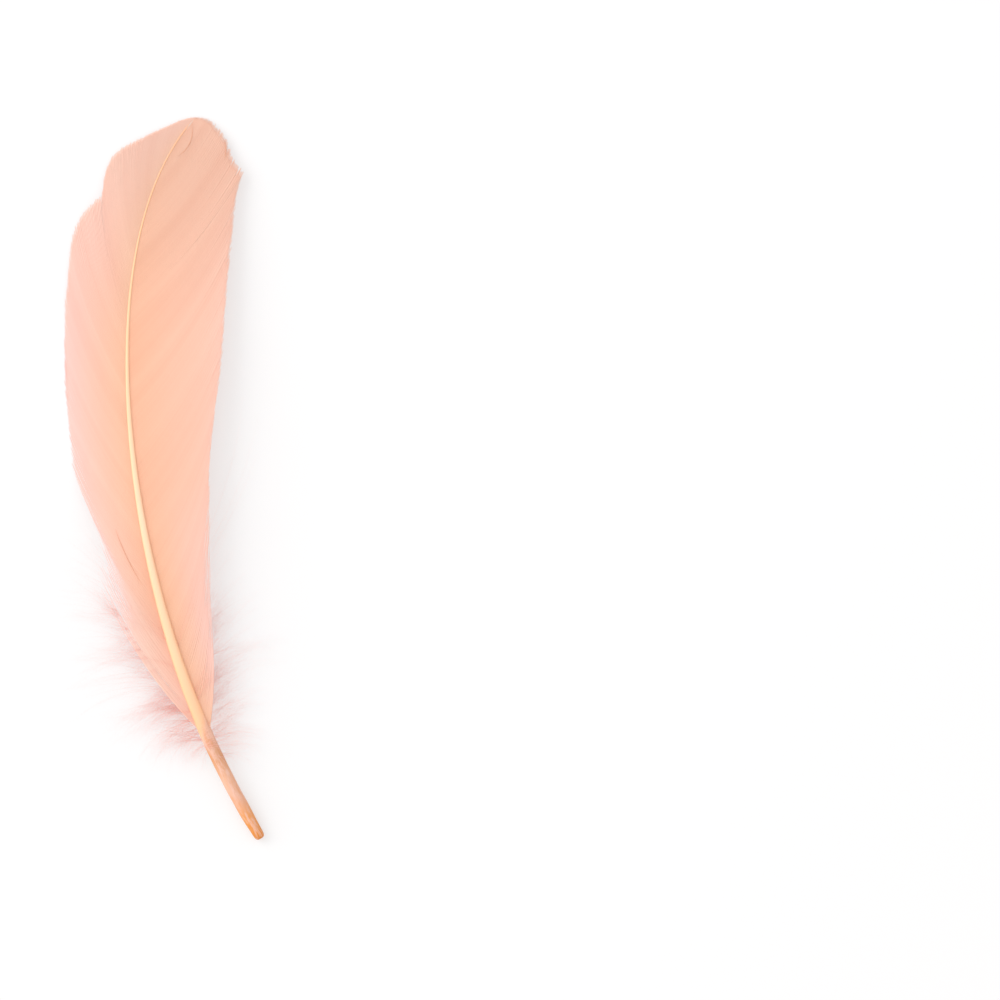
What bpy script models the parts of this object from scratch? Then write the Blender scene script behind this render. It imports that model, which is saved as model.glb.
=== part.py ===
"""A goose quill feather, lying on a flat surface with its upper side up.

Metres, +Z up. The quill's end points to -Y and the feather's tip to +Y. The narrow vane is on
the -X side and the wide vane on the +X side. The origin is the bottom centre of the feather's box.
Every shape is first worked out in millimetres, in a frame whose origin is the quill's end, and one
empty then carries all the pieces to their place.
"""

import math

import bmesh
import bpy
from mathutils import Vector

MM = 0.001

# ---------------------------------------------------------------- driving dimensions, in millimetres
# The shaft's centre line is one Bezier curve: it bends towards the narrow vane and arches upwards.
SHAFT_CURVE = [
    Vector((0.0, 0.0, 1.25)),
    Vector((-19.8, 41.4, 5.5)),
    Vector((-22.6, 69.9, 10.5)),
    Vector((-31.3, 140.6, 6.0)),
    Vector((0.0, 170.0, 0.4)),
]
LENGTH = SHAFT_CURVE[-1].y
QUILL_LENGTH = 26.0  # the bare, hollow-looking part below the vanes
QUILL_WIDTH = 3.1
QUILL_END_WIDTH = 2.5
QUILL_END_TAPER = 8.0
QUILL_ROUNDING = 1.1  # how far the closed end is rounded over
SHAFT_TIP_WIDTH = 0.3
SHAFT_TAPER_POWER = 1.75
SHAFT_TIP_POINT = 3.0  # the last stretch, which runs to a point
DEPTH_TO_WIDTH = 1.12  # the solid part of the shaft is a little deeper than it is wide
GROOVE_DEPTH = 0.14  # groove along the underside, as a share of the shaft's width
ROUND_POWER, SQUARE_POWER = 2.0, 2.8  # section: a circle at the quill, a soft square above it

GAP = 0.3  # left between neighbouring pieces
WEB_THICKNESS = 0.5
WEB_BASE = 27.0  # where along Y the lowest barbs of the closed vanes leave the shaft
WEB_TOP = 167.0
BARB_BOW = 0.08  # how far a barb bows towards the base, as a share of its length

# Outer edges of the two vanes as (x, y), from the end of the lowest barb to the tip. The barbs' ends
# spread along them by a rule that packs them closer and closer towards the tip; SPREAD says how much.
NARROW_EDGE = [
    (-30.4, 58), (-30.7, 66), (-30.6, 74), (-32.7, 80), (-35.4, 88), (-36, 97), (-36.1, 110),
    (-34.9, 125), (-33.1, 136), (-31.5, 144), (-29.3, 148.4), (-26.6, 151.4), (-23.7, 153.4),
    (-23.2, 155), (-22.4, 158.6), (-21, 161.6), (-18.2, 163.8), (-13.6, 166), (-8.2, 168),
    (-3, 169.6), (-0.6, LENGTH),
]
WIDE_EDGE = [
    (-7.3, 58), (-5.8, 70), (-4, 88), (-1.7, 100), (0.9, 112), (3.6, 128), (6, 141), (7.8, 150),
    (9.1, 154), (9.8, 155.8), (8.6, 158), (7.3, 161.6), (6.2, 165), (4.4, 167.6), (2.3, 169.3),
    (0.6, LENGTH),
]
NARROW_SPREAD, WIDE_SPREAD = 0.45, 0.92

# How each vane hangs from the shaft: at REACH from the shaft it has come down by LEAN of its height.
NARROW_REACH, WIDE_REACH = 14.4, 22.0
TIP_REACH = 17.0  # the narrow vane's reach near the tip, where its edge stands a little off the floor
TIP_REACH_FROM, TIP_REACH_TO = 112.0, 142.0
NARROW_LEAN, WIDE_LEAN = 1.0, 0.1
PROPPED_LEAN = 0.4  # near the base both vanes rest on the down, and come down less
PROPPED_FROM, PROPPED_TO = 60.0, 95.0
HANG_POWER = 1.7
LOWEST_WEB = WEB_THICKNESS / 2

# The dense inner part of the down, under the base of each vane, and its outer edges as (x, y).
DOWN_THICKNESS = 1.0
DOWN_BASE, DOWN_TOP = 24.0, 53.0
NARROW_DOWN_EDGE = [(-20, 28), (-28, 37), (-33, 48), (-35.5, 60), (-36, 71), (-34, 81)]
WIDE_DOWN_EDGE = [(-3.5, 27), (2, 35), (5.5, 45), (6.5, 57), (5, 68), (1, 78)]

SHAFT_STATIONS, SHAFT_SIDES = 72, 20
WEB_STATIONS, WEB_STRIPS = 64, 8
DOWN_STATIONS, DOWN_STRIPS = 18, 5


# ---------------------------------------------------------------- the lines that everything follows
def smoothstep(low, high, value):
    share = min(1.0, max(0.0, (value - low) / (high - low)))
    return share * share * (3 - 2 * share)


def bezier(points, f):
    """The point at f on a Bezier curve of any order."""
    while len(points) > 1:
        points = [a.lerp(b, f) for a, b in zip(points, points[1:])]
    return points[0]


def shaft_at(y):
    """The centre line's point at this y, found by halving, because y always grows along it."""
    low, high = 0.0, 1.0
    for _ in range(40):
        middle = (low + high) / 2
        if bezier(SHAFT_CURVE, middle).y < y:
            low = middle
        else:
            high = middle
    return bezier(SHAFT_CURVE, (low + high) / 2)


def shaft_direction(f):
    step = 1e-3
    ahead = bezier(SHAFT_CURVE, min(1.0, f + step))
    behind = bezier(SHAFT_CURVE, max(0.0, f - step))
    return (ahead - behind).normalized()


def shaft_width(y):
    """Full width of the shaft: a plain quill, then a taper up to the tip, closed at both ends."""
    if y < QUILL_LENGTH:
        end = smoothstep(0.0, QUILL_END_TAPER, y)
        width = QUILL_END_WIDTH + (QUILL_WIDTH - QUILL_END_WIDTH) * end
    else:
        left = (LENGTH - y) / (LENGTH - QUILL_LENGTH)
        width = SHAFT_TIP_WIDTH + (QUILL_WIDTH - SHAFT_TIP_WIDTH) * left**SHAFT_TAPER_POWER
    if y < QUILL_ROUNDING:
        width *= math.sqrt(max(0.0, 1 - (1 - y / QUILL_ROUNDING) ** 2))
    if y > LENGTH - SHAFT_TIP_POINT:
        width *= (LENGTH - y) / SHAFT_TIP_POINT
    return width


def along_line(points, share):
    """The point at this share of the length of a line, straight between its points."""
    points = [Vector(point) for point in points]
    lengths = [(b - a).length for a, b in zip(points, points[1:])]
    left = share * sum(lengths)
    for a, b, length in zip(points, points[1:], lengths):
        if left <= length:
            return a.lerp(b, left / length)
        left -= length
    return points[-1]


def web_height(x, y):
    """Height of the middle of the vanes over the plan point (x, y)."""
    shaft = shaft_at(y)
    top = shaft.z + 0.2 * shaft_width(y)
    aside = x - shaft.x
    narrow_reach = NARROW_REACH + (TIP_REACH - NARROW_REACH) * smoothstep(TIP_REACH_FROM, TIP_REACH_TO, y)
    reach, lean = (narrow_reach, NARROW_LEAN) if aside < 0 else (WIDE_REACH, WIDE_LEAN)
    lean = min(lean, PROPPED_LEAN) + max(0.0, lean - PROPPED_LEAN) * smoothstep(PROPPED_FROM, PROPPED_TO, y)
    drop = lean * (top - LOWEST_WEB) * (abs(aside) / reach) ** HANG_POWER
    return max(LOWEST_WEB, top - drop)


def barb_point(root, end, side, share):
    """A point on the plan line of a barb, which bows outwards and towards the feather's base."""
    run = end - root
    bow = (root + end) / 2 + side * BARB_BOW * Vector((run.y, -run.x))
    return bezier([root, bow, end], share)


def clear_of_shaft(y, side):
    """The plan point beside the shaft at y, with the gap, where a vane begins."""
    shaft = shaft_at(y)
    away = shaft_width(y) / 2 + GAP
    return Vector((shaft.x + side * away, y))


# ---------------------------------------------------------------- making the objects
def clear_scene():
    for obj in list(bpy.data.objects):
        bpy.data.objects.remove(obj, do_unlink=True)


def material(name, colour, roughness):
    made = bpy.data.materials.new(name)
    made.use_nodes = True
    shader = made.node_tree.nodes["Principled BSDF"]
    shader.inputs["Base Color"].default_value = (*colour, 1.0)
    shader.inputs["Roughness"].default_value = roughness
    shader.inputs["Metallic"].default_value = 0.0
    return made


def grid_object(name, columns, rows, place, closed=False):
    """A grid whose vertex at share (u, v) moves to place(u, v), in millimetres; closed welds its seam and poles."""
    bm = bmesh.new()
    bmesh.ops.create_grid(bm, x_segments=columns, y_segments=rows, size=0.5)
    for vertex in bm.verts:
        vertex.co = place(vertex.co.x + 0.5, vertex.co.y + 0.5) * MM
    if closed:
        bmesh.ops.remove_doubles(bm, verts=bm.verts, dist=1e-7)
        bmesh.ops.recalc_face_normals(bm, faces=bm.faces)
    mesh = bpy.data.meshes.new(name)
    bm.to_mesh(mesh)
    bm.free()
    return bpy.data.objects.new(name, mesh)


def make_shaft():
    """Quill and rachis, one horny rod: a grid wrapped round the centre line, closed at both ends."""

    def place(around, along):
        f = 0.5 - 0.5 * math.cos(math.pi * along)  # stations crowd towards both ends
        f = 0.5 * f + 0.5 * along
        centre = bezier(SHAFT_CURVE, f)
        direction = shaft_direction(f)
        sideways = Vector((direction.y, -direction.x, 0)).normalized()
        up = sideways.cross(direction)
        width = shaft_width(centre.y)
        solid = smoothstep(QUILL_LENGTH - 4, QUILL_LENGTH + 14, centre.y)
        power = ROUND_POWER + (SQUARE_POWER - ROUND_POWER) * solid
        depth = width * (1 + (DEPTH_TO_WIDTH - 1) * solid)
        angle = 2 * math.pi * around
        c, s = math.cos(angle), math.sin(angle)
        across = math.copysign(abs(c) ** (2 / power), c) * width / 2
        height = math.copysign(abs(s) ** (2 / power), s) * depth / 2
        groove = max(0.0, -s) ** 12 * GROOVE_DEPTH * width * solid
        return centre + sideways * across + up * (height + groove)

    shaft = grid_object("shaft", SHAFT_SIDES, SHAFT_STATIONS, place, closed=True)
    shaft.data.shade_smooth()
    return shaft


def add_thickness(sheet, thickness):
    shell = sheet.modifiers.new("thickness", "SOLIDIFY")
    shell.thickness = thickness * MM
    shell.offset = 0.0
    shell.use_even_offset = False


def make_vane(name, edge, spread, side):
    """One closed web: each column of the grid is the line of a barb, from the shaft to the outer edge."""

    def place(along, across):
        root = clear_of_shaft(WEB_BASE + (WEB_TOP - WEB_BASE) * along, side)
        end = along_line(edge, along * (1 + spread * along * (1 - along)))
        point = barb_point(root, end, side, across)
        return Vector((point.x, point.y, web_height(point.x, point.y)))

    vane = grid_object(name, WEB_STATIONS, WEB_STRIPS, place)
    add_thickness(vane, WEB_THICKNESS)
    return vane


def make_down(name, edge, side):
    """The dense part of the down on one side: a soft pad under the base of the vane."""
    below = (WEB_THICKNESS + DOWN_THICKNESS) / 2 + GAP

    def place(along, across):
        root = clear_of_shaft(DOWN_BASE + (DOWN_TOP - DOWN_BASE) * along, side)
        end = along_line(edge, along)
        point = barb_point(root, end, side, across)
        return Vector((point.x, point.y, web_height(point.x, point.y) - below))

    down = grid_object(name, DOWN_STATIONS, DOWN_STRIPS, place)
    add_thickness(down, DOWN_THICKNESS)
    return down


def set_down_on_floor(carrier, pieces):
    """Moves the carrier so that the pieces' common box has its bottom centre at the origin."""
    bpy.context.view_layer.update()
    graph = bpy.context.evaluated_depsgraph_get()
    corners = []
    for piece in pieces:
        evaluated = piece.evaluated_get(graph)
        corners += [evaluated.matrix_world @ vertex.co for vertex in evaluated.data.vertices]
    low = [min(corner[axis] for corner in corners) for axis in range(3)]
    high = [max(corner[axis] for corner in corners) for axis in range(3)]
    carrier.location = (-(low[0] + high[0]) / 2, -(low[1] + high[1]) / 2, -low[2])


def main():
    clear_scene()
    horn = material("horn", (0.90, 0.56, 0.30), 0.35)
    web = material("dyed_web", (0.95, 0.58, 0.43), 0.7)
    fluff = material("dyed_down", (0.96, 0.66, 0.56), 0.9)

    pieces = {
        make_shaft(): horn,
        make_vane("narrow_vane", NARROW_EDGE, NARROW_SPREAD, -1): web,
        make_vane("wide_vane", WIDE_EDGE, WIDE_SPREAD, 1): web,
        make_down("narrow_side_down", NARROW_DOWN_EDGE, -1): fluff,
        make_down("wide_side_down", WIDE_DOWN_EDGE, 1): fluff,
    }
    collection = bpy.data.collections.new("goose_quill_feather")
    bpy.context.scene.collection.children.link(collection)
    carrier = bpy.data.objects.new("feather", None)
    collection.objects.link(carrier)
    for piece, finish in pieces.items():
        piece.data.materials.append(finish)
        piece.parent = carrier
        collection.objects.link(piece)
    set_down_on_floor(carrier, pieces)


main()
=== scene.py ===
# %% [markdown]
# # A goose quill feather
#
# A wing feather is one grown thing: a horny shaft, and two rows of barbs that branch from its sides.
# Low on the shaft the barbs are loose and fluffy, and that part is called the down. Above it every
# barb is hooked to the next, and together they make two closed sheets, the vanes. This lesson builds
# the shaft as one lofted mesh. Geometry Nodes then sweep the barbs along guide lines: thin ribbons in
# the vanes, and fine hairs in the down.
#
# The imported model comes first. It gives the real size and place of every piece.

# %% The frame
import math

import bmesh
import bpy
import numpy as np
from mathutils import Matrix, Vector


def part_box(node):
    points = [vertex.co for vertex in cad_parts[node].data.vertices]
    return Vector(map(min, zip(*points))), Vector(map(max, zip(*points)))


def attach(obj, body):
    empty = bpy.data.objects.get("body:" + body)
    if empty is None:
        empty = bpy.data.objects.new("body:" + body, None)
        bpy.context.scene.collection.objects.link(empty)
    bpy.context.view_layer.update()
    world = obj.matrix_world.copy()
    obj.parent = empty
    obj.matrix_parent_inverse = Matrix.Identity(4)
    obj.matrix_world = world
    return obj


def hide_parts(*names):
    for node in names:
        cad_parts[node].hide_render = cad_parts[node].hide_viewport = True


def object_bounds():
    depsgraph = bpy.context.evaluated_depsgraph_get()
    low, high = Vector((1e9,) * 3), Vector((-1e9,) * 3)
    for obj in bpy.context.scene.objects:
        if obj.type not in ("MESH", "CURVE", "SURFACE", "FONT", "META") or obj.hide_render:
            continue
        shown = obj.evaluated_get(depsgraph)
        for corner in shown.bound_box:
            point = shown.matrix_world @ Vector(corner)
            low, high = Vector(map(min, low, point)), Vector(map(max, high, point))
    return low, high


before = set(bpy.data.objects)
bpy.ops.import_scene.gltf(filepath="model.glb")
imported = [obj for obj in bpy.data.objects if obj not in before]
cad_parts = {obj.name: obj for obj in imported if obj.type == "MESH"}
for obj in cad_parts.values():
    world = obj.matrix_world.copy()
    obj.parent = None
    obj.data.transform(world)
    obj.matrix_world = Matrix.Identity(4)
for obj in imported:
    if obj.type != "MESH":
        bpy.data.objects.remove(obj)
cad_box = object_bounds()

print("the feather measures", [round(side * 1000, 1) for side in cad_box[1] - cad_box[0]], "mm")

# %% [markdown]
# ## The lines that everything follows
#
# A feather is easiest to think of in millimetres, from the quill's end, which is the point (0, 0, 0)
# here. Y runs towards the tip. The shaft's centre line is one Bezier curve with five control points,
# because a grown shaft bends evenly all the way. The width is a formula: a plain tube for the bare
# quill, and a taper above it.

# %% Shaft lines
MM = 0.001
SHAFT_CURVE = [(0, 0, 1.25), (-19.8, 41.4, 5.5), (-22.6, 69.9, 10.5), (-31.3, 140.6, 6), (0, 170, 0.4)]
LENGTH = 170.0
QUILL_LENGTH = 26.0
QUILL_WIDTH, QUILL_END_WIDTH, QUILL_END_TAPER = 3.1, 2.5, 8.0
SHAFT_TIP_WIDTH, SHAFT_TAPER_POWER, SHAFT_TIP_POINT = 0.3, 1.75, 3.0


def bezier(points, share):
    """Points at these shares on a Bezier curve of any order; each control point may be an array."""
    rows = [np.asarray(point, float) for point in points]
    share = np.asarray(share, float)[..., None]
    while len(rows) > 1:
        rows = [a + (b - a) * share for a, b in zip(rows, rows[1:])]
    return rows[0]


def smoothstep(low, high, value):
    share = np.clip((np.asarray(value, float) - low) / (high - low), 0, 1)
    return share * share * (3 - 2 * share)


CENTRE_LINE = bezier(SHAFT_CURVE, np.linspace(0, 1, 4001))


def shaft_at(y):
    """The centre line's point at each y."""
    return np.stack([np.interp(y, CENTRE_LINE[:, 1], CENTRE_LINE[:, axis]) for axis in range(3)], -1)


def shaft_width(y):
    left = np.clip((LENGTH - y) / (LENGTH - QUILL_LENGTH), 0, 1)
    tapered = SHAFT_TIP_WIDTH + (QUILL_WIDTH - SHAFT_TIP_WIDTH) * left**SHAFT_TAPER_POWER
    end = smoothstep(0, QUILL_END_TAPER, y)
    quill = QUILL_END_WIDTH + (QUILL_WIDTH - QUILL_END_WIDTH) * end
    point = np.clip((LENGTH - y) / SHAFT_TIP_POINT, 0, 1)
    return np.where(y < QUILL_LENGTH, quill, tapered) * point


print("width at the quill, the middle and near the tip:", shaft_width(np.array([15, 85, 160])).round(2))

# %% [markdown]
# The vanes' outlines are lines with only the corners that show: the notch near the tip of the narrow
# vane, the pointed corner of the wide one. A vane hangs from the shaft like a roof. Its height falls
# with the distance from the shaft, so that the narrow vane's edge comes to lie on the floor.

# %% Vane lines
NARROW_EDGE = [
    (-30.4, 58), (-30.7, 66), (-30.6, 74), (-32.7, 80), (-35.4, 88), (-36, 97), (-36.1, 110),
    (-34.9, 125), (-33.1, 136), (-31.5, 144), (-29.3, 148.4), (-26.6, 151.4), (-23.7, 153.4),
    (-23.7, 153.4), (-23, 156), (-22.2, 159), (-20.6, 162), (-17.6, 164.3), (-13, 166.3),
    (-8, 168.1), (-3, 169.7), (0.1, LENGTH),
]
WIDE_EDGE = [
    (-7.3, 58), (-5.8, 70), (-4, 88), (-1.7, 100), (0.9, 112), (3.6, 128), (6, 141), (7.8, 150),
    (9.1, 154), (9.9, 155.8), (9.9, 155.8), (8.6, 158), (7.3, 161.6), (6.2, 165), (4.4, 167.6),
    (2.6, 169.3), (-0.1, LENGTH),
]
NARROW_SPREAD, WIDE_SPREAD = 0.45, 0.92
WEB_BASE, WEB_TOP = 27.0, 167.0
WEB_FLOOR = 0.12  # the lowest that the middle of a barb may lie
BARB_BOW = 0.08
NARROW_REACH, WIDE_REACH = 14.4, 22.0
TIP_REACH = 17.0  # the narrow vane's reach near the tip, where it stands a little off the floor
TIP_REACH_FROM, TIP_REACH_TO = 112.0, 142.0
NARROW_LEAN, WIDE_LEAN, PROPPED_LEAN = 1.0, 0.1, 0.4
PROPPED_FROM, PROPPED_TO = 60.0, 95.0
HANG_POWER = 1.7
WEB_ROOT = 0.2  # how far above the shaft's middle the web starts, as a share of the shaft's width


def smooth_line(corners, steps=12):
    """A smooth line through all the corners; a corner given twice stays sharp."""
    knots = np.asarray(corners, float)
    slopes = np.gradient(knots, axis=0)[:, None]
    share = np.linspace(0, 1, steps, endpoint=False)[None, :, None]
    start, end = knots[:-1, None], knots[1:, None]
    bend = smoothstep(0, 1, share)
    out = share * (1 - share) ** 2 * slopes[:-1] - share**2 * (1 - share) * slopes[1:]
    return np.concatenate([(start + (end - start) * bend + out).reshape(-1, 2), knots[-1:]])


def along_line(points, share):
    """Points at these shares of a line's length."""
    run = np.concatenate([[0], np.cumsum(np.linalg.norm(np.diff(points, axis=0), axis=1))])
    return np.stack([np.interp(share * run[-1], run, points[:, axis]) for axis in range(2)], -1)


def web_height(x, y):
    shaft = shaft_at(y)
    top = shaft[..., 2] + WEB_ROOT * shaft_width(y)
    aside = x - shaft[..., 0]
    narrow_reach = NARROW_REACH + (TIP_REACH - NARROW_REACH) * smoothstep(TIP_REACH_FROM, TIP_REACH_TO, y)
    reach = np.where(aside < 0, narrow_reach, WIDE_REACH)
    lean = np.where(aside < 0, NARROW_LEAN, WIDE_LEAN)
    propped = np.minimum(lean, PROPPED_LEAN)
    lean = propped + (lean - propped) * smoothstep(PROPPED_FROM, PROPPED_TO, y)
    drop = lean * (top - WEB_FLOOR) * (np.abs(aside) / reach) ** HANG_POWER
    return np.maximum(WEB_FLOOR, top - drop)


def web_up(x, y):
    """Unit vectors that point straight up out of the vane."""
    step = 0.05
    slope_x = (web_height(x + step, y) - web_height(x - step, y)) / (2 * step)
    slope_y = (web_height(x, y + step) - web_height(x, y - step)) / (2 * step)
    up = np.stack([-slope_x, -slope_y, np.ones_like(slope_x)], -1)
    return up / np.linalg.norm(up, axis=-1, keepdims=True)


print("the vanes stand", web_height(np.array([-36.0, -22.0, 1.0]), 110.0).round(1), "mm high at Y 110")

# %% [markdown]
# ## From lines to objects
#
# Both frames have the floor at Z 0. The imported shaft's box tells how far apart they are in X and Y: its
# low Y is the quill's end, and its low X is the outside of the bend.

# %% Place in the frame
shaft_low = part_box("shaft")[0]
STATIONS = np.linspace(0, LENGTH, 1701)
bend_x = (shaft_at(STATIONS)[:, 0] - shaft_width(STATIONS) / 2).min()
OFFSET = np.array([shaft_low.x / MM - bend_x, shaft_low.y / MM, 0.0])


def to_frame(points):
    return (np.asarray(points, float) + OFFSET) * MM


def mesh_from(name, points, faces=(), edges=(), **attributes):
    """An object of these millimetre points, with one float or vector attribute for each extra word."""
    mesh = bpy.data.meshes.new(name)
    mesh.from_pydata(to_frame(points).tolist(), [list(e) for e in edges], [list(f) for f in faces])
    for word, values in attributes.items():
        values = np.asarray(values, np.float32)
        vector = values.ndim == 2
        layer = mesh.attributes.new(word, "FLOAT_VECTOR" if vector else "FLOAT", "POINT")
        layer.data.foreach_set("vector" if vector else "value", values.ravel())
    mesh.update()
    made = bpy.data.objects.new(name, mesh)
    bpy.context.scene.collection.objects.link(made)
    return made


print("the quill's end lies at", to_frame([0, 0, 0]).round(4))

# %% [markdown]
# ## Geometry Nodes trees from a script
#
# Two small helpers keep the trees short. One starts a tree whose sizes are named inputs, the other adds
# a node and joins or fills its sockets. A third puts the tree on an object, sets its inputs by the
# sockets' identifiers, and freezes what it makes into a plain mesh.

# %% Tree helpers
def new_tree(name, **sizes):
    tree = bpy.data.node_groups.new(name, "GeometryNodeTree")
    tree.interface.new_socket("Guides", in_out="INPUT", socket_type="NodeSocketGeometry")
    for label, value in sizes.items():
        kind = "NodeSocketInt" if isinstance(value, int) else "NodeSocketFloat"
        socket = tree.interface.new_socket(label, in_out="INPUT", socket_type=kind)
        socket.default_value = value
    tree.interface.new_socket("Mesh", in_out="OUTPUT", socket_type="NodeSocketGeometry")
    return tree, tree.nodes.new("NodeGroupInput").outputs


def add(tree, kind, settings=None, **sockets):
    """A node of this kind. A socket's word has _ for each space, and takes a value or another socket."""
    made = tree.nodes.new(kind)
    for word, value in (settings or {}).items():
        setattr(made, word, value)
    open_sockets = [socket for socket in made.inputs if socket.enabled]
    for word, value in sockets.items():
        label, _, place = word.replace("_", " ").partition("  ")
        found = [socket for socket in open_sockets if socket.name == label][int(place or 0)]
        if isinstance(value, bpy.types.NodeSocket):
            tree.links.new(value, found)
        else:
            found.default_value = value
    return made


def named(tree, word, kind="FLOAT"):
    return add(tree, "GeometryNodeInputNamedAttribute", {"data_type": kind}, Name=word).outputs["Attribute"]


def sums(tree, operation, a, b=0.0):
    return add(tree, "ShaderNodeMath", {"operation": operation}, Value=a, Value__1=b).outputs[0]


def swept(tree, curve, profile, scale):
    """The profile swept along the curve, with closed ends."""
    return add(
        tree, "GeometryNodeCurveToMesh", Curve=curve, Profile_Curve=profile, Scale=scale, Fill_Caps=True
    ).outputs[0]


def finish_tree(tree, mesh, material):
    """Every tree ends the same way: instances become real, and the whole mesh takes its material."""
    real = add(tree, "GeometryNodeRealizeInstances", Geometry=mesh).outputs[0]
    smooth = add(tree, "GeometryNodeSetShadeSmooth", Geometry=real).outputs[0]
    done = add(tree, "GeometryNodeSetMaterial", Geometry=smooth, Material=material).outputs[0]
    tree.links.new(done, tree.nodes.new("NodeGroupOutput").inputs[0])


def grow(guides, tree, **sizes):
    """Runs a tree on its guide lines and leaves a plain mesh in their place."""
    modifier = guides.modifiers.new(tree.name, "NODES")
    modifier.node_group = tree
    for item in tree.interface.items_tree:
        if item.in_out == "INPUT" and item.name in sizes:
            modifier[item.identifier] = sizes[item.name]
    graph = bpy.context.evaluated_depsgraph_get()
    grown = bpy.data.meshes.new_from_object(guides.evaluated_get(graph))
    guides.modifiers.clear()
    guides.data = grown
    grown.calc_loop_triangles()
    print(guides.name, "has", len(grown.loop_triangles), "triangles")
    return guides


# %% [markdown]
# ## Materials
#
# Everything here is keratin: clear, hornlike and dyed. Thick keratin is an amber gloss, and a thin sheet
# of it lets half the light through. So each material mixes a plain surface with a translucent one. Its
# colours run along two numbers that the meshes carry: how far along the feather, and how far across.

# %% Material helpers
def new_material(name):
    made = bpy.data.materials.new(name)
    made.use_nodes = True
    made.node_tree.nodes.clear()
    return made, made.node_tree


def srgb(red, green, blue):
    """A colour as a paint chart gives it, 0 to 255, turned into the linear values that shaders use."""
    share = [value / 255 for value in (red, green, blue)]
    return (*[c / 12.92 if c <= 0.04045 else ((c + 0.055) / 1.055) ** 2.4 for c in share], 1.0)


def ramp(tree, factor, *stops):
    """A colour ramp from stops of (place, colour)."""
    made = add(tree, "ShaderNodeValToRGB", Fac=factor)
    points = made.color_ramp.elements
    while len(points) < len(stops):
        points.new(0.5)
    for point, (place, colour) in zip(points, stops):
        point.position, point.color = place, colour
    return made.outputs["Color"]


def blend(tree, factor, a, b, mode="MIX"):
    made = add(tree, "ShaderNodeMix", {"data_type": "RGBA", "blend_type": mode}, Factor=factor, A=a, B=b)
    return made.outputs["Result"]


def carried(tree, word, output="Fac"):
    return add(tree, "ShaderNodeAttribute", {"attribute_name": word}).outputs[output]


def remap(tree, value, low, high, to_low=0.0, to_high=1.0):
    sizes = {"From_Min": low, "From_Max": high, "To_Min": to_low, "To_Max": to_high}
    return add(tree, "ShaderNodeMapRange", Value=value, **sizes).outputs[0]


def thin_keratin(tree, colour, through, roughness, sheen=0.0, specular=0.3):
    """Ends a material: a share of the light bounces off, and the share named through comes through."""
    surface = add(tree, "ShaderNodeBsdfPrincipled", Base_Color=colour, Roughness=roughness)
    surface.inputs["Specular IOR Level"].default_value = specular
    surface.inputs["Sheen Weight"].default_value = sheen
    glow = add(tree, "ShaderNodeBsdfTranslucent", Color=colour)
    both = {"Shader": surface.outputs[0], "Shader__1": glow.outputs[0]}
    mixed = add(tree, "ShaderNodeMixShader", Fac=through, **both).outputs[0]
    tree.links.new(mixed, add(tree, "ShaderNodeOutputMaterial").inputs["Surface"])


# %% [markdown]
# ## The shaft
#
# The shaft is a tube at the quill and a softly squared rod with a groove beneath above it. It could be a
# curve with a bevel, but a bevel keeps one section all the way. Here the section changes, so the mesh
# is a loft: rings of points, each square to the centre line. The quill's end is rounded over and has
# the small pit through which the growing feather was fed.

# %% Shaft
DEPTH_TO_WIDTH = 1.12
GROOVE_DEPTH = 0.14
WAVE_HEIGHT = 0.014
SHAFT_SIDES, SHAFT_RINGS = 36, 260
# The rounded end and its pit, as (distance from the end, share of the width), from the pit's bottom out.
QUILL_END_RINGS = [
    (1.3, 0.0), (1.25, 0.16), (0.7, 0.26), (0.2, 0.32), (0.03, 0.4), (0, 0.52), (0.05, 0.66),
    (0.2, 0.8), (0.45, 0.91), (0.8, 0.97), (1.25, 1.0),
]


def frame_along(y):
    """Centre, sideways and upward unit vectors of the shaft at each y."""
    tangents = np.gradient(CENTRE_LINE, axis=0)
    run = np.stack([np.interp(y, CENTRE_LINE[:, 1], tangents[:, axis]) for axis in range(3)], -1)
    run /= np.linalg.norm(run, axis=-1, keepdims=True)
    sideways = np.cross(run, [0, 0, 1])
    sideways /= np.linalg.norm(sideways, axis=-1, keepdims=True)
    return shaft_at(y), sideways, np.cross(sideways, run)


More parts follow.
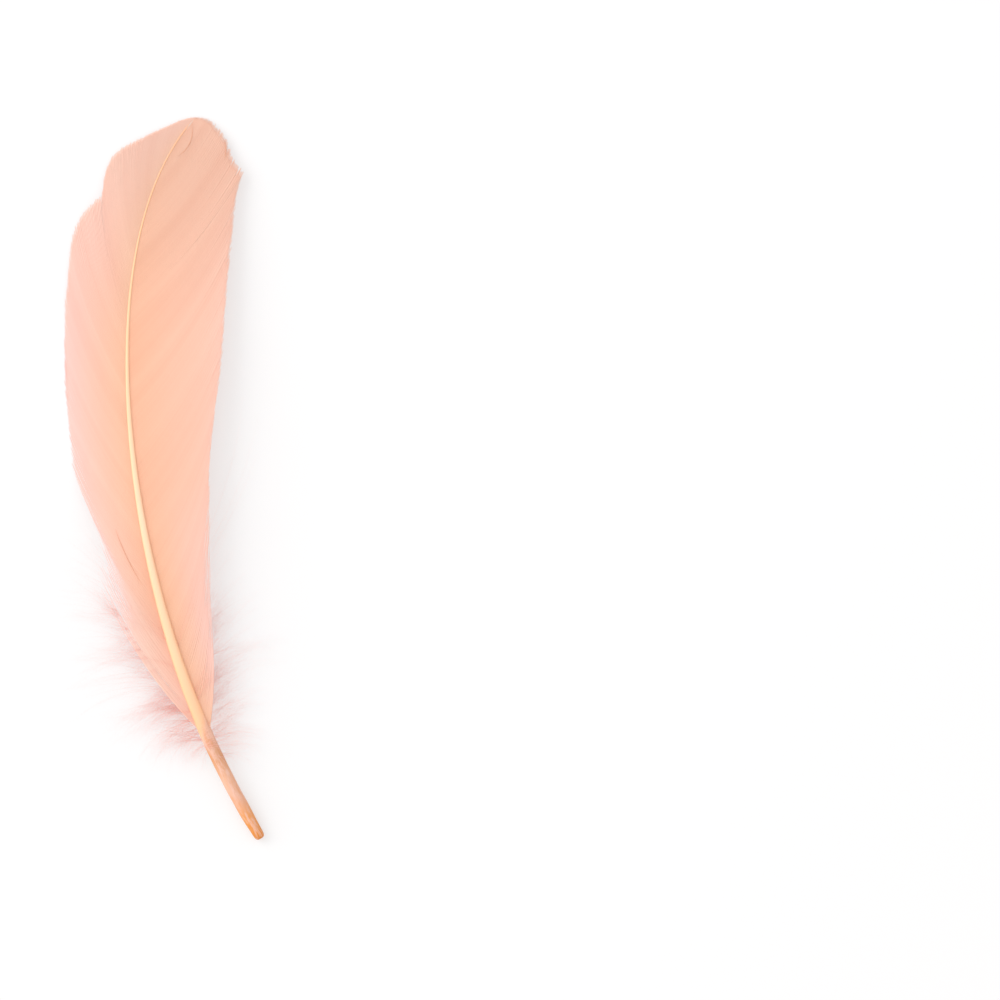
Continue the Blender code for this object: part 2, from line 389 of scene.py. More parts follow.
def make_shaft():
    ring_y = np.concatenate([[y for y, _ in QUILL_END_RINGS], np.linspace(1.8, LENGTH, SHAFT_RINGS)])
    share = np.concatenate([[share for _, share in QUILL_END_RINGS], np.ones(SHAFT_RINGS)])
    width = shaft_width(ring_y) * share
    solid = smoothstep(QUILL_LENGTH - 4, QUILL_LENGTH + 14, ring_y)
    power = (2 + 0.8 * solid)[:, None]
    depth = (width * (1 + (DEPTH_TO_WIDTH - 1) * solid))[:, None]
    angle = np.linspace(0, 2 * np.pi, SHAFT_SIDES, endpoint=False)[None, :]
    across = np.sign(np.cos(angle)) * np.abs(np.cos(angle)) ** (2 / power)
    upward = np.sign(np.sin(angle)) * np.abs(np.sin(angle)) ** (2 / power)
    groove = np.maximum(0, -np.sin(angle)) ** 12 * (GROOVE_DEPTH * width * solid)[:, None]
    # Dried horn isn't a perfect tube: it has faint waves along and around it.
    y = ring_y[:, None]
    wave = WAVE_HEIGHT * np.sin(y * 0.9 + 2 * np.sin(angle)) * np.sin(3 * angle + y * 0.17)
    swell = 1 + wave * (1 - 0.5 * solid[:, None])
    across_mm = across * width[:, None] / 2 * swell
    upward_mm = upward * depth / 2 * swell + groove
    centre, sideways, up = frame_along(ring_y)
    points = centre[:, None] + sideways[:, None] * across_mm[..., None] + up[:, None] * upward_mm[..., None]
    rings = len(ring_y)
    index = np.arange(rings * SHAFT_SIDES).reshape(rings, SHAFT_SIDES)
    beside = np.roll(index, -1, axis=1)
    quads = np.stack([index[:-1], beside[:-1], beside[1:], index[1:]], -1).reshape(-1, 4)
    straight = np.stack([across_mm, upward_mm, np.repeat(ring_y[:, None], SHAFT_SIDES, 1)], -1)
    shaft = mesh_from(
        "quill_and_shaft",
        points.reshape(-1, 3),
        quads,
        along=np.repeat(ring_y / LENGTH, SHAFT_SIDES),
        across=across.ravel(),
        straight=straight.reshape(-1, 3),
    )
    close_ends(shaft)
    return shaft


def close_ends(tube):
    """Welds each end ring, whose points lie on one another, into one point."""
    bm = bmesh.new()
    bm.from_mesh(tube.data)
    bmesh.ops.remove_doubles(bm, verts=bm.verts, dist=1e-7)
    bmesh.ops.recalc_face_normals(bm, faces=bm.faces)
    open_edges = sum(edge.is_boundary for edge in bm.edges)
    bm.to_mesh(tube.data)
    bm.free()
    tube.data.shade_smooth()
    print(tube.name, "has", len(tube.data.polygons), "faces and", open_edges, "open edges")


# %% [markdown]
# The quill is amber, with cloudy bands and brown flecks of dried pith inside. Where the vanes begin it
# turns into the pale, nearly opaque rachis, and the pale part reaches down the left side as a tongue.
# Noise gives the clouds, stretched along the horn, as it grew.

# %% Horn material
def horn_material():
    made, tree = new_material("dyed_horn")
    along, across = carried(tree, "along"), carried(tree, "across")
    straight = carried(tree, "straight", "Vector")
    stretched = add(tree, "ShaderNodeMapping", Vector=straight, Scale=(1.0, 1.0, 0.22)).outputs[0]
    coarse = {"Scale": 1.1, "Detail": 3.0, "Roughness": 0.6}
    fine = {"Scale": 2.3, "Detail": 4.0, "Roughness": 0.7}
    cloud = add(tree, "ShaderNodeTexNoise", Vector=stretched, **coarse).outputs[0]
    fleck = add(tree, "ShaderNodeTexNoise", Vector=stretched, **fine).outputs[0]
    amber = ramp(
        tree, along, (0.0, srgb(216, 132, 48)), (0.03, srgb(226, 148, 72)), (0.058, srgb(230, 178, 152)),
        (0.088, srgb(230, 178, 148)), (0.118, srgb(214, 152, 108)), (0.147, srgb(236, 192, 170)),
        (0.18, srgb(236, 176, 136)),
    )
    amber = blend(tree, remap(tree, cloud, 0.52, 0.64, 0.0, 0.65), amber, srgb(236, 194, 176))
    amber = blend(tree, remap(tree, cloud, 0.46, 0.36, 0.0, 0.5), amber, srgb(222, 152, 96))
    amber = blend(tree, remap(tree, fleck, 0.6, 0.7, 0.0, 0.5), amber, srgb(200, 122, 62))
    pale = ramp(
        tree, along, (0.15, srgb(250, 194, 152)), (0.26, srgb(254, 206, 166)), (0.45, srgb(255, 214, 180)),
        (0.7, srgb(253, 206, 166)), (0.88, srgb(248, 192, 150)), (1.0, srgb(244, 186, 150)),
    )
    # Both sides of the pale rachis turn a deeper orange: partly the horn's own colour where the rod is seen
    # edge-on, partly painted shade on its rounded sides.
    pale = blend(tree, remap(tree, across, -0.2, -1.1, 0.0, 0.6), pale, srgb(246, 190, 140))
    pale = blend(tree, remap(tree, across, 0.5, 1.3, 0.0, 0.3), pale, srgb(250, 196, 136))
    tongue = sums(tree, "ADD", along, sums(tree, "MULTIPLY", across, -0.014))
    colour = blend(tree, remap(tree, tongue, 0.152, 0.17), amber, pale)
    thin_keratin(tree, colour, through=0.12, roughness=0.4, specular=0.35)
    return made


shaft = make_shaft()
shaft.data.materials.append(horn_material())
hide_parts("shaft")
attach(shaft, "root")

# %% [markdown]
# ## The guide lines of the barbs
#
# Each barb leaves the shaft at a steep angle and bends towards the tip, so its plan is a short Bezier
# curve. Its root and its end both move up the feather by a rule, so the rule makes all of them. The
# ribbons that follow these lines must just overlap, so each point also stores how far away the next
# barb runs, and which way is up out of the vane.

# %% Barb guides
BARBS = 320
BARB_POINTS = 46
OVERLAP = 0.78  # half a ribbon's width, as a share of the gap between the middles of two barbs
GAP_LIMITS = (0.04, 0.5)
EVEN_ENDS, FRAYED_ENDS = 0.006, 0.06  # how much barbs differ in length, as a share of it
FRAYED_THINNING = 0.8
UNEVEN_HEIGHT = 0.03


def drift(rng, count, reach):
    """A random wander along a row of barbs, smooth over a few neighbours, from about -1 to 1."""
    kernel = np.exp(-0.5 * (np.arange(-3 * reach, 3 * reach + 1) / reach) ** 2)
    walk = np.convolve(rng.normal(size=count + 6 * reach), kernel, "valid")
    return walk / walk.std() / 2


def lines_between(points):
    """The edges that join each row of points to a line."""
    index = np.arange(points.shape[0] * points.shape[1]).reshape(points.shape[:2])
    return np.stack([index[:, :-1], index[:, 1:]], -1).reshape(-1, 2)


def bent_lines(start, middle, end, shares):
    """One row of points for each row of the three arrays, along the curve that they bend."""
    return np.moveaxis(bezier([start[None], middle[None], end[None]], shares[:, None]), 0, 1)


def guide_mesh(name, points, **attributes):
    """An object with one line for each row of points; each attribute is spread over the same rows."""
    spread = {}
    for word, values in attributes.items():
        if np.ndim(values) == 3:
            spread[word] = values.reshape(-1, 3)
        else:
            spread[word] = np.broadcast_to(values, points.shape[:2]).ravel()
    return mesh_from(name, points.reshape(-1, 3), edges=lines_between(points), **spread)


def gap_beside(plan):
    """How far away the next barb runs, at each point of each barb."""
    tangent = np.gradient(plan, axis=1)
    tangent /= np.linalg.norm(tangent, axis=-1, keepdims=True)
    next_barb = np.gradient(plan, axis=0)
    return np.abs(next_barb[..., 0] * tangent[..., 1] - next_barb[..., 1] * tangent[..., 0])


def barb_guides(name, edge, spread, side, seed, frayed_to):
    """The barbs of one vane. Up to frayed_to, a share of the vane, their ends are thin and uneven."""
    rng = np.random.default_rng(seed)
    share = (np.arange(BARBS) + 0.5) / BARBS
    root_y = WEB_BASE + (WEB_TOP - WEB_BASE) * share
    root = shaft_at(root_y)[:, :2]
    root[:, 0] += side * (shaft_width(root_y) / 2 - 0.06)
    end = along_line(smooth_line(edge), share * (1 + spread * share * (1 - share)))
    run = end - root
    frayed = 1 - smoothstep(0.04, frayed_to, share)
    end += run * ((EVEN_ENDS + FRAYED_ENDS * frayed) * rng.normal(size=BARBS))[:, None]
    bow = (root + end) / 2 + side * BARB_BOW * np.stack([run[:, 1], -run[:, 0]], -1)
    across = np.linspace(0, 1, BARB_POINTS)
    plan = bent_lines(root, bow, end, across)
    gap = gap_beside(plan)
    uneven = UNEVEN_HEIGHT * np.minimum(gap, 0.4) * drift(rng, BARBS, 4)[:, None] * across**0.7
    height = web_height(plan[..., 0], plan[..., 1]) + uneven
    points = np.concatenate([plan, np.maximum(height, WEB_FLOOR)[..., None]], -1)
    radius = OVERLAP * np.clip(gap, *GAP_LIMITS) * (1 - 0.6 * smoothstep(0.95, 1, across))
    radius = radius * (1 - FRAYED_THINNING * frayed[:, None] * smoothstep(0.4, 1, across))
    tint = drift(rng, BARBS, 3)[:, None] * 0.3 + rng.normal(size=BARBS)[:, None] * 0.08
    return guide_mesh(
        name, points, radius=radius * MM, up=web_up(plan[..., 0], plan[..., 1]),
        along=points[..., 1] / LENGTH, across=across, tint=tint,
    )


# %% [markdown]
# ## The barbs
#
# A tree sweeps a flat six-sided section along every guide line. The section is thicker in the middle,
# like the real barb's midrib, and it is tilted a little, so that neighbours overlap like roof tiles
# and none cuts through the next.

# %% Ribbon tree
def ribbon_tree(material):
    tree, given = new_tree("swept_barbs", Thickness=0.22, Tile_Tilt=0.1)
    curves = add(tree, "GeometryNodeMeshToCurve", Mesh=given["Guides"]).outputs[0]
    facing = add(tree, "GeometryNodeSetCurveNormal", {"mode": "FREE"}, Curve=curves)
    tree.links.new(named(tree, "up", "FLOAT_VECTOR"), facing.inputs["Normal"])
    facing = facing.outputs[0]
    tilted = add(tree, "GeometryNodeSetCurveTilt", Curve=facing, Tilt=given["Tile_Tilt"]).outputs[0]
    circle = add(tree, "GeometryNodeCurvePrimitiveCircle", Resolution=6, Radius=1.0).outputs[0]
    flat = add(tree, "ShaderNodeCombineXYZ", X=given["Thickness"], Y=1.0, Z=1.0).outputs[0]
    here = add(tree, "GeometryNodeInputPosition").outputs[0]
    squashed = add(tree, "ShaderNodeVectorMath", {"operation": "MULTIPLY"}, Vector=here, Vector__1=flat)
    section = add(tree, "GeometryNodeSetPosition", Geometry=circle, Position=squashed.outputs[0]).outputs[0]
    ribbons = swept(tree, tilted, section, named(tree, "radius"))
    finish_tree(tree, ribbons, material)
    return tree


# %% [markdown]
# The dyed web is more orange beside the shaft, where the barbs are thick and lie close, and paler and
# pinker at its edge and towards the down. The paler edge is partly painted light: the light that comes
# through the thin edge from the white floor. Its tip is a little browner. Each barb took the dye a little
# differently, which the attribute tint carries.

# %% Web materials
def web_material(name, middle, base, tip, bleached):
    """The stops of middle and base run from the shaft to the edge, over the vane and near its base.

    Bleached is the share of pale pink at the very base.
    """
    made, tree = new_material(name)
    along, across, tint = carried(tree, "along"), carried(tree, "across"), carried(tree, "tint")
    # From the shaft to the edge the web turns paler and pinker; at the edge this is partly painted light,
    # for light coming through the thin web.
    colour = ramp(tree, across, *middle)
    colour = blend(tree, remap(tree, along, 0.5, 0.22), colour, ramp(tree, across, *base))
    colour = blend(tree, remap(tree, along, 0.34, 0.2, 0.0, bleached), colour, srgb(255, 226, 212))
    colour = blend(tree, remap(tree, along, 0.7, 0.94, 0.0, 0.7), colour, tip)
    darker = blend(tree, 1.0, colour, srgb(246, 232, 226), "MULTIPLY")
    colour = blend(tree, remap(tree, tint, -1.0, 1.0), colour, darker)
    thin_keratin(tree, colour, through=0.32, roughness=0.62, sheen=0.15)
    return made


NARROW_MIDDLE = [
    (0.0, srgb(252, 213, 182)), (0.35, srgb(252, 210, 189)),
    (0.75, srgb(252, 213, 202)), (1.0, srgb(254, 218, 211)),
]
NARROW_BASE = [
    (0.0, srgb(252, 198, 170)), (0.4, srgb(253, 227, 211)),
    (0.8, srgb(254, 241, 238)), (1.0, srgb(255, 233, 231)),
]
NARROW_TIP = srgb(244, 212, 192)
WIDE_MIDDLE = [
    (0.0, srgb(252, 207, 176)), (0.35, srgb(252, 211, 187)),
    (0.75, srgb(252, 214, 195)), (1.0, srgb(252, 217, 202)),
]
WIDE_BASE = [
    (0.0, srgb(252, 210, 172)), (0.4, srgb(253, 220, 210)),
    (0.8, srgb(254, 230, 229)), (1.0, srgb(254, 225, 219)),
]
WIDE_TIP = srgb(234, 195, 172)
NARROW_WEB = web_material("narrow_vane_web", NARROW_MIDDLE, NARROW_BASE, NARROW_TIP, bleached=0.75)
WIDE_WEB = web_material("wide_vane_web", WIDE_MIDDLE, WIDE_BASE, WIDE_TIP, bleached=0.3)

# %% Vanes
def make_vane(node, guides, web, tilt):
    vane = grow(guides, ribbon_tree(web), Tile_Tilt=tilt)
    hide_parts(node)
    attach(vane, "root")


narrow = barb_guides("narrow_vane_barbs", NARROW_EDGE, NARROW_SPREAD, side=-1, seed=11, frayed_to=0.3)
make_vane("narrow_vane", narrow, NARROW_WEB, tilt=-0.1)
wide = barb_guides("wide_vane_barbs", WIDE_EDGE, WIDE_SPREAD, side=1, seed=12, frayed_to=0.22)
make_vane("wide_vane", wide, WIDE_WEB, tilt=0.1)

# %% [markdown]
# Three thin dark strands lie on the web. The one beside the shaft's tip is a barb that has come out of the
# web. The one in the narrow vane is painted shade, standing for the shade in a narrow gap between barbs,
# and the one along the wide vane's corner is painted shade for a fold there. All three take one darker
# colour.

# %% Loose barbs
LOOSE_BARBS = [
    [(-22.2, 61.7), (-25.5, 68.0), (-27.3, 75.3)],
    [(-4.9, 161.2), (-0.6, 163.5), (-0.9, 168.6)],
    [(5.9, 159.4), (7.0, 162.0), (6.1, 164.4)],
]
LOOSE_RADIUS, LOOSE_HEIGHT = 0.045, 0.12


def loose_barb_guides():
    across = np.linspace(0, 1, BARB_POINTS)
    plan = bent_lines(*np.moveaxis(np.array(LOOSE_BARBS), 1, 0), across)
    up = web_up(plan[..., 0], plan[..., 1])
    height = web_height(plan[..., 0], plan[..., 1]) + LOOSE_HEIGHT
    radius = LOOSE_RADIUS * np.sin(np.pi * (0.08 + 0.84 * across))
    points = np.concatenate([plan, height[..., None]], -1)
    return guide_mesh("loose_barbs_and_shade_lines", points, radius=radius * MM, up=up)


def loose_barb_and_shade_line_material():
    made, tree = new_material("loose_barb_painted_shade")
    # This darker colour is painted shade, for a gap between barbs and a fold in the web; only the strand by
    # the tip is a real loose barb.
    dark = add(tree, "ShaderNodeRGB")
    dark.outputs[0].default_value = srgb(232, 168, 128)
    thin_keratin(tree, dark.outputs[0], through=0.2, roughness=0.5)
    return made


loose_barbs_and_shade_lines = grow(loose_barb_guides(), ribbon_tree(loose_barb_and_shade_line_material()), Thickness=0.8, Tile_Tilt=0.0)
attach(loose_barbs_and_shade_lines, "root")

# %% [markdown]
# ## The guide lines of the down
#
# Down barbs have no hooks, so each bends its own way, and neighbours stick together in small clumps.
# The lowest stand out sideways from the shaft, the upper ones lean towards the tip. They start at the
# shaft's sides below the web and come to lie just above the floor. A few lie on the web or cross the
# quill. Random numbers with a fixed seed choose all of this, the same way every time.

# %% Down guides
DOWN_POINTS = 14
DOWN_ROOM = 9.0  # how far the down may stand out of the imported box
CLUMP = 4
LOWEST_DOWN = 0.3
SWAY = 0.35


def inside_room(ends):
    """Keeps the ends of barbs within the room that the down has."""
    low_x, high_x = (cad_box[0].x / MM - OFFSET[0], cad_box[1].x / MM - OFFSET[0])
    ends[:, 0] = np.clip(ends[:, 0], low_x - DOWN_ROOM, high_x + DOWN_ROOM)
    return ends


def towards(heading):
    """Unit vectors in plan; a heading is the angle from Y towards X."""
    return np.stack([np.sin(heading), np.cos(heading)], -1)


def over_web(plan, across):
    """Heights of barbs that lie on the web, and lift off it a little towards their ends."""
    return web_height(plan[..., 0], plan[..., 1]) + 0.3 + 0.6 * across


def over_quill(height, quill_top, across):
    """Heights of barbs that first cross the quill's top and then come down to the heights given."""
    top = quill_top[:, None]
    return top + (height - top) * smoothstep(0.3, 0.8, across)


def down_guides(name, side, count, seed, roots, fan, reach, curl=30, over=0.15, strays=()):
    """Guide lines that start at the shaft, between the two roots.

    Fan (degrees from the shaft) and reach go from the lowest to the highest, and curl (degrees) is how
    far a barb bends on from there. The share named over lies on the web, or crosses the quill below it.
    Strays are single barbs, each given as (root y, end x, end y).
    """
    rng = np.random.default_rng(seed)

    def together(middle, among_clumps, within):
        clumps = rng.normal(0, among_clumps, count // CLUMP + 1).repeat(CLUMP)[:count]
        return middle + clumps + rng.normal(0, within, count)

    share = np.sort(rng.uniform(0, 1, count)) ** 1.15
    root_y = roots[0] + (roots[1] - roots[0]) * share
    angle = np.radians(fan[0] + (fan[1] - fan[0]) * share**0.7 + together(0, 9, 6))
    full_length = reach[0] + (reach[1] - reach[0]) * smoothstep(0, 0.5, share)
    length = full_length * np.clip(together(0.84, 0.12, 0.08), 0.5, 1.08)
    run = shaft_at(root_y + 1) - shaft_at(root_y - 1)
    heading = np.arctan2(run[:, 0], run[:, 1]) + side * angle
    first = towards(heading)
    then = towards(heading + side * np.radians(together(curl, 14, 9)))
    root = shaft_at(root_y)
    above = rng.uniform(size=count) < over
    crossing = above & (root_y < QUILL_LENGTH + 1)
    root[:, 0] += side * shaft_width(root_y) * np.where(crossing, -0.4, 0.42)
    end = root[:, :2] + (0.45 * first + 0.55 * then) * length[:, None]
    for place, (stray_y, end_x, end_y) in enumerate(reversed(strays), count - len(strays)):
        root_y[place] = stray_y
        root[place] = shaft_at(stray_y)
        end[place] = (end_x, end_y)
        length[place] = np.hypot(*(end[place] - root[place, :2]))
        first[place] = (side * 0.75, 0.66)
    end = inside_room(end)

    across = np.linspace(0, 1, DOWN_POINTS)
    plan = bent_lines(root[:, :2], root[:, :2] + first * (0.45 * length)[:, None], end, across)
    wave = np.sin(across * rng.uniform(4, 9, (count, 1)) + rng.uniform(0, 6, (count, 1)))
    sway = SWAY * wave * across
    plan = plan + sway[..., None] * np.stack([then[:, 1], -then[:, 0]], -1)[:, None]
    rest = rng.uniform(0.7, 3.4, (count, 1))
    width = shaft_width(root_y)
    start = (root[:, 2] - WEB_ROOT * width)[:, None]
    height = start + (rest - start) * smoothstep(0, 0.8, across) + 0.3 * sway
    height = np.where(above[:, None], np.maximum(height, over_web(plan, across)), height)
    height = np.where(crossing[:, None], over_quill(height, root[:, 2] + 0.62 * width, across), height)
    points = np.concatenate([plan, np.maximum(height, LOWEST_DOWN)[..., None]], -1)
    return guide_mesh(name, points, along=across)


# %% [markdown]
# The lowest barbs of the web are downy too. More guide lines start along the lowest barb on each side,
# just inside the web, and run out over the floor, curving up the feather.

# %% Loose ends
def lowest_barb(edge, side):
    root, end = shaft_at(np.array([WEB_BASE]))[0, :2], smooth_line(edge)[0]
    bow = (root + end) / 2 + side * BARB_BOW * np.array([end[1] - root[1], root[0] - end[0]])
    return bezier([root, bow, end], np.linspace(0, 1, 40))


def loose_end_guides(name, side, count, seed, edge, span, reach, lean):
    """Guide lines between two shares of the lowest barb; lean (degrees) turns them up the feather."""
    rng = np.random.default_rng(seed)
    line = lowest_barb(edge, side)
    share = np.sort(rng.uniform(*span, count))
    place = along_line(line, share)
    run = along_line(line, np.minimum(share + 0.01, 1)) - along_line(line, np.maximum(share - 0.01, 0))
    run /= np.linalg.norm(run, axis=-1, keepdims=True)
    outward = side * np.stack([run[:, 1], -run[:, 0]], -1)
    clumps = rng.normal(0, 12, count // CLUMP + 1).repeat(CLUMP)[:count]
    first_angle = np.radians(lean + clumps + rng.normal(0, 6, count))[:, None]
    then_angle = first_angle + np.radians(25 + clumps + rng.normal(0, 8, count))[:, None]
    first = np.cos(first_angle) * outward + np.sin(first_angle) * run
    then = np.cos(then_angle) * outward + np.sin(then_angle) * run
    length = reach * rng.uniform(0.35, 1, (count, 1))
    start = place - outward
    end = inside_room(place + (0.45 * first + 0.55 * then) * length)
    across = np.linspace(0, 1, DOWN_POINTS)
    plan = bent_lines(start, place + 0.4 * first * length, end, across)
    high = web_height(start[:, 0], start[:, 1])[:, None]
    height = high + (rng.uniform(0.6, 2.4, (count, 1)) - high) * smoothstep(0.0, 1, across)
    points = np.concatenate([plan, np.maximum(height, LOWEST_DOWN)[..., None]], -1)
    return guide_mesh(name, points, along=0.15 + 0.85 * across)


# %% [markdown]
# ## The down
#
# A down barb carries hundreds of barbules, each finer than a hair. The tree lays a thin tube on every
# guide line, puts a point every fraction of a millimetre along it, and sets one tapering, curved hair
# on each point, turned to the left and right in turn. Last, nothing may sink into the floor, so a
# hair that would is laid along it.

# %% Down tree
def three_sided_ring(tree, width):
    """The coarsest tube: up close it's a prism, but nothing here is thicker than a hair."""
    radius = sums(tree, "MULTIPLY", width, 0.5)
    return add(tree, "GeometryNodeCurvePrimitiveCircle", Resolution=3, Radius=radius).outputs[0]


def down_tree(material):
    tree, given = new_tree(
        "down_barbs", Barb_Width=0.00005, Barbule_Spacing=0.00042, Barbule_Length=0.0038,
        Barbule_Width=0.00002, Branch_Angle=0.7, Fan=1.1, Floor=0.00002, Seed=1,
    )
    curves = add(tree, "GeometryNodeMeshToCurve", Mesh=given["Guides"]).outputs[0]
    level = add(tree, "GeometryNodeSetCurveNormal", {"mode": "Z_UP"}, Curve=curves).outputs[0]
    ring = three_sided_ring(tree, given["Barb_Width"])
    taper = remap(tree, named(tree, "along"), 0.0, 1.0, 1.0, 0.25)
    barbs = swept(tree, level, ring, taper)

    spacing = given["Barbule_Spacing"]
    spots = add(tree, "GeometryNodeCurveToPoints", {"mode": "LENGTH"}, Curve=level, Length=spacing)
    facing = add(
        tree, "FunctionNodeAxesToRotation", {"primary_axis": "Z", "secondary_axis": "X"},
        Primary_Axis=spots.outputs["Tangent"], Secondary_Axis=spots.outputs["Normal"],
    ).outputs[0]
    index = add(tree, "GeometryNodeInputIndex").outputs[0]
    other_side = sums(tree, "MULTIPLY", sums(tree, "MODULO", index, 2.0), math.pi)
    spread = add(
        tree, "FunctionNodeRandomValue", {"data_type": "FLOAT"},
        Min=sums(tree, "MULTIPLY", given["Fan"], -1.0), Max=given["Fan"], Seed=given["Seed"],
    ).outputs["Value"]
    around = sums(tree, "ADD", other_side, spread)
    roll = add(tree, "FunctionNodeAxisAngleToRotation", Axis=(0, 0, 1), Angle=around).outputs[0]
    lean = given["Branch_Angle"]
    branch = add(tree, "FunctionNodeAxisAngleToRotation", Axis=(0, 1, 0), Angle=lean).outputs[0]
    own_axes = {"rotation_space": "LOCAL"}
    for turn in (roll, branch):
        turned = add(tree, "FunctionNodeRotateRotation", own_axes, Rotation=facing, Rotate_By=turn)
        facing = turned.outputs[0]

    line = add(
        tree, "GeometryNodeCurveQuadraticBezier", Resolution=2,
        Start=(0, 0, 0), Middle=(0.12, 0.05, 0.5), End=(-0.12, 0, 1),
    ).outputs[0]
    length = given["Barbule_Length"]
    full_size = add(tree, "ShaderNodeCombineXYZ", X=length, Y=length, Z=length).outputs[0]
    long = add(tree, "GeometryNodeTransform", Geometry=line, Scale=full_size).outputs[0]
    share = add(tree, "GeometryNodeSplineParameter").outputs["Factor"]
    fine = three_sided_ring(tree, given["Barbule_Width"])
    hair = swept(tree, long, fine, remap(tree, share, 0.0, 1.0, 1.0, 0.15))
    uneven = add(
        tree, "FunctionNodeRandomValue", {"data_type": "FLOAT"},
        Min=0.45, Max=1.1, Seed=sums(tree, "ADD", given["Seed"], 7.0),
    ).outputs["Value"]
    along = named(tree, "along")
    longer, shorter = remap(tree, along, 0.0, 0.3, 0.7, 1.0), remap(tree, along, 0.3, 1.0, 1.0, 0.4)
    size = sums(tree, "MULTIPLY", uneven, sums(tree, "MULTIPLY", longer, shorter))
    hairs = add(
        tree, "GeometryNodeInstanceOnPoints",
        Points=spots.outputs["Points"], Instance=hair, Rotation=facing, Scale=size,
    ).outputs[0]
    real = add(tree, "GeometryNodeRealizeInstances", Geometry=hairs).outputs[0]
    joined = add(tree, "GeometryNodeJoinGeometry")
    tree.links.new(real, joined.inputs[0])
    tree.links.new(barbs, joined.inputs[0])

    here = add(tree, "ShaderNodeSeparateXYZ", Vector=add(tree, "GeometryNodeInputPosition").outputs[0])
    lifted = add(
        tree, "ShaderNodeCombineXYZ", X=here.outputs[0], Y=here.outputs[1],
        Z=sums(tree, "MAXIMUM", here.outputs[2], given["Floor"]),
    ).outputs[0]
    laid = add(tree, "GeometryNodeSetPosition", Geometry=joined.outputs[0], Position=lifted).outputs[0]
    finish_tree(tree, laid, material)
    return tree


# %% Down material
def down_material():
    made, tree = new_material("dyed_down")
    colour = ramp(
        tree, carried(tree, "along"),
        (0.0, srgb(255, 204, 190)), (0.35, srgb(255, 222, 214)), (1.0, srgb(255, 240, 239)),
    )
    thin_keratin(tree, colour, through=0.75, roughness=0.6, sheen=0.3)
    return made


fluff = down_tree(down_material())


def make_down(node, guides, **shape):
    down = grow(guides(**shape), fluff, Seed=shape["seed"])
    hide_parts(node)
    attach(down, "root")


NARROW_STRAYS = [(58, -34, 92), (57, -36, 86), (55, -37, 79), (56, -35, 96), (53, -38, 73)]
WIDE_STRAYS = [(57, 5, 104), (56, 8.5, 98), (54, 7, 90)]
make_down(
    "narrow_side_down", down_guides, name="narrow_side_fluff", side=-1, count=100, seed=21,
    roots=(24, 56), fan=(74, 34), reach=(17, 34), over=0.04, strays=NARROW_STRAYS,
)
make_down(
    "narrow_side_down", down_guides, name="narrow_side_tuft", side=-1, count=76, seed=23,
    roots=(21.5, 38), fan=(110, 60), reach=(9, 17), curl=40, over=0.12,
)
make_down(
    "narrow_side_down", loose_end_guides, name="narrow_side_loose_ends", side=-1, count=110, seed=25,
    edge=NARROW_EDGE, span=(0.08, 1.0), reach=10, lean=40,
)
make_down(
    "wide_side_down", down_guides, name="wide_side_fluff", side=1, count=80, seed=22,
    roots=(24, 52), fan=(72, 34), reach=(15, 28), over=0.04, strays=WIDE_STRAYS,
)
make_down(
    "wide_side_down", down_guides, name="wide_side_tuft", side=1, count=64, seed=24,
    roots=(19.5, 38), fan=(116, 55), reach=(10, 17), curl=40, over=0.12,
)
make_down(
    "wide_side_down", loose_end_guides, name="wide_side_loose_ends", side=1, count=50, seed=26,
    edge=WIDE_EDGE, span=(0.08, 1.0), reach=9, lean=45,
)

# %% [markdown]
# ## Floor, light and camera
#
# The feather lies on a plain white sweep, under one large soft light from the upper left and an even
# white surround. The sweep glows a little by itself, so that it stays white and its shadows soft.

# %% Floor and light
FLOOR_SIZE = 3.0
FLOOR_PAINT, FLOOR_GLOW = (0.37, 0.36, 0.36, 1), 0.53
WINDOW_PLACE, WINDOW_SIZE, WINDOW_POWER = (-1.5, 0.83, 0.9), 2.0, 34.0
SURROUND = 1.04


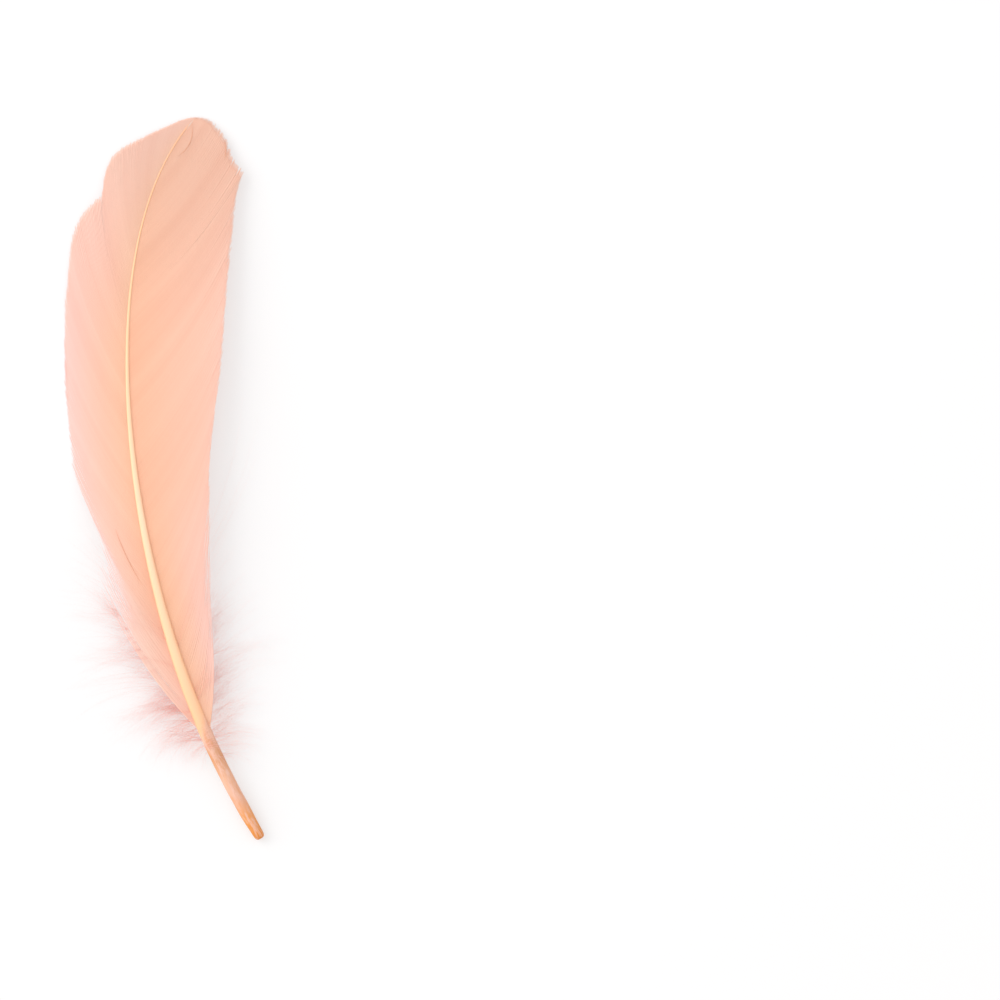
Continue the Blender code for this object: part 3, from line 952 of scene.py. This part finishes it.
def make_floor():
    half = FLOOR_SIZE / 2
    corners = [(-half, -half, 0), (half, -half, 0), (half, half, 0), (-half, half, 0)]
    mesh = bpy.data.meshes.new("floor")
    mesh.from_pydata(corners, [], [(0, 1, 2, 3)])
    floor = bpy.data.objects.new("floor", mesh)
    bpy.context.scene.collection.objects.link(floor)
    made, tree = new_material("white_sweep")
    paint = add(tree, "ShaderNodeBsdfPrincipled", Base_Color=FLOOR_PAINT, Roughness=0.9)
    paint.inputs["Specular IOR Level"].default_value = 0.0
    paint.inputs["Emission Color"].default_value = (1, 1, 1, 1)
    paint.inputs["Emission Strength"].default_value = FLOOR_GLOW
    tree.links.new(paint.outputs[0], add(tree, "ShaderNodeOutputMaterial").inputs["Surface"])
    mesh.materials.append(made)


def make_light(name, place, size, power):
    data = bpy.data.lights.new(name, "AREA")
    data.size, data.energy = size, power
    light = bpy.data.objects.new(name, data)
    light.location = place
    light.rotation_euler = (-Vector(place)).to_track_quat("-Z", "Y").to_euler()
    bpy.context.scene.collection.objects.link(light)


def make_surround(strength):
    world = bpy.data.worlds.new("surround")
    world.use_nodes = True
    world.node_tree.nodes["Background"].inputs["Color"].default_value = (1, 1, 1, 1)
    world.node_tree.nodes["Background"].inputs["Strength"].default_value = strength
    bpy.context.scene.world = world


make_floor()
make_light("window", WINDOW_PLACE, WINDOW_SIZE, WINDOW_POWER)
make_surround(SURROUND)
bpy.context.scene.view_settings.view_transform = "Standard"

# %% [markdown]
# The camera looks straight down from above, with a long lens, so that the feather isn't stretched
# towards the edges of the view. Turning it a few degrees leans the feather's tip to the left.

# %% Camera
VIEW_WIDTH = 234.8
VIEW_CENTRE = (63.1, 74.0, 0)
LENS, SENSOR = 600.0, 36.0
LEAN = 5.19


def make_camera():
    data = bpy.data.cameras.new("camera")
    data.lens, data.sensor_width = LENS, SENSOR
    camera = bpy.data.objects.new("camera", data)
    x, y, _ = to_frame(VIEW_CENTRE)
    camera.location = (x, y, VIEW_WIDTH * MM * LENS / SENSOR)
    camera.rotation_euler = (0, 0, math.radians(-LEAN))
    bpy.context.scene.collection.objects.link(camera)
    bpy.context.scene.camera = camera


make_camera()
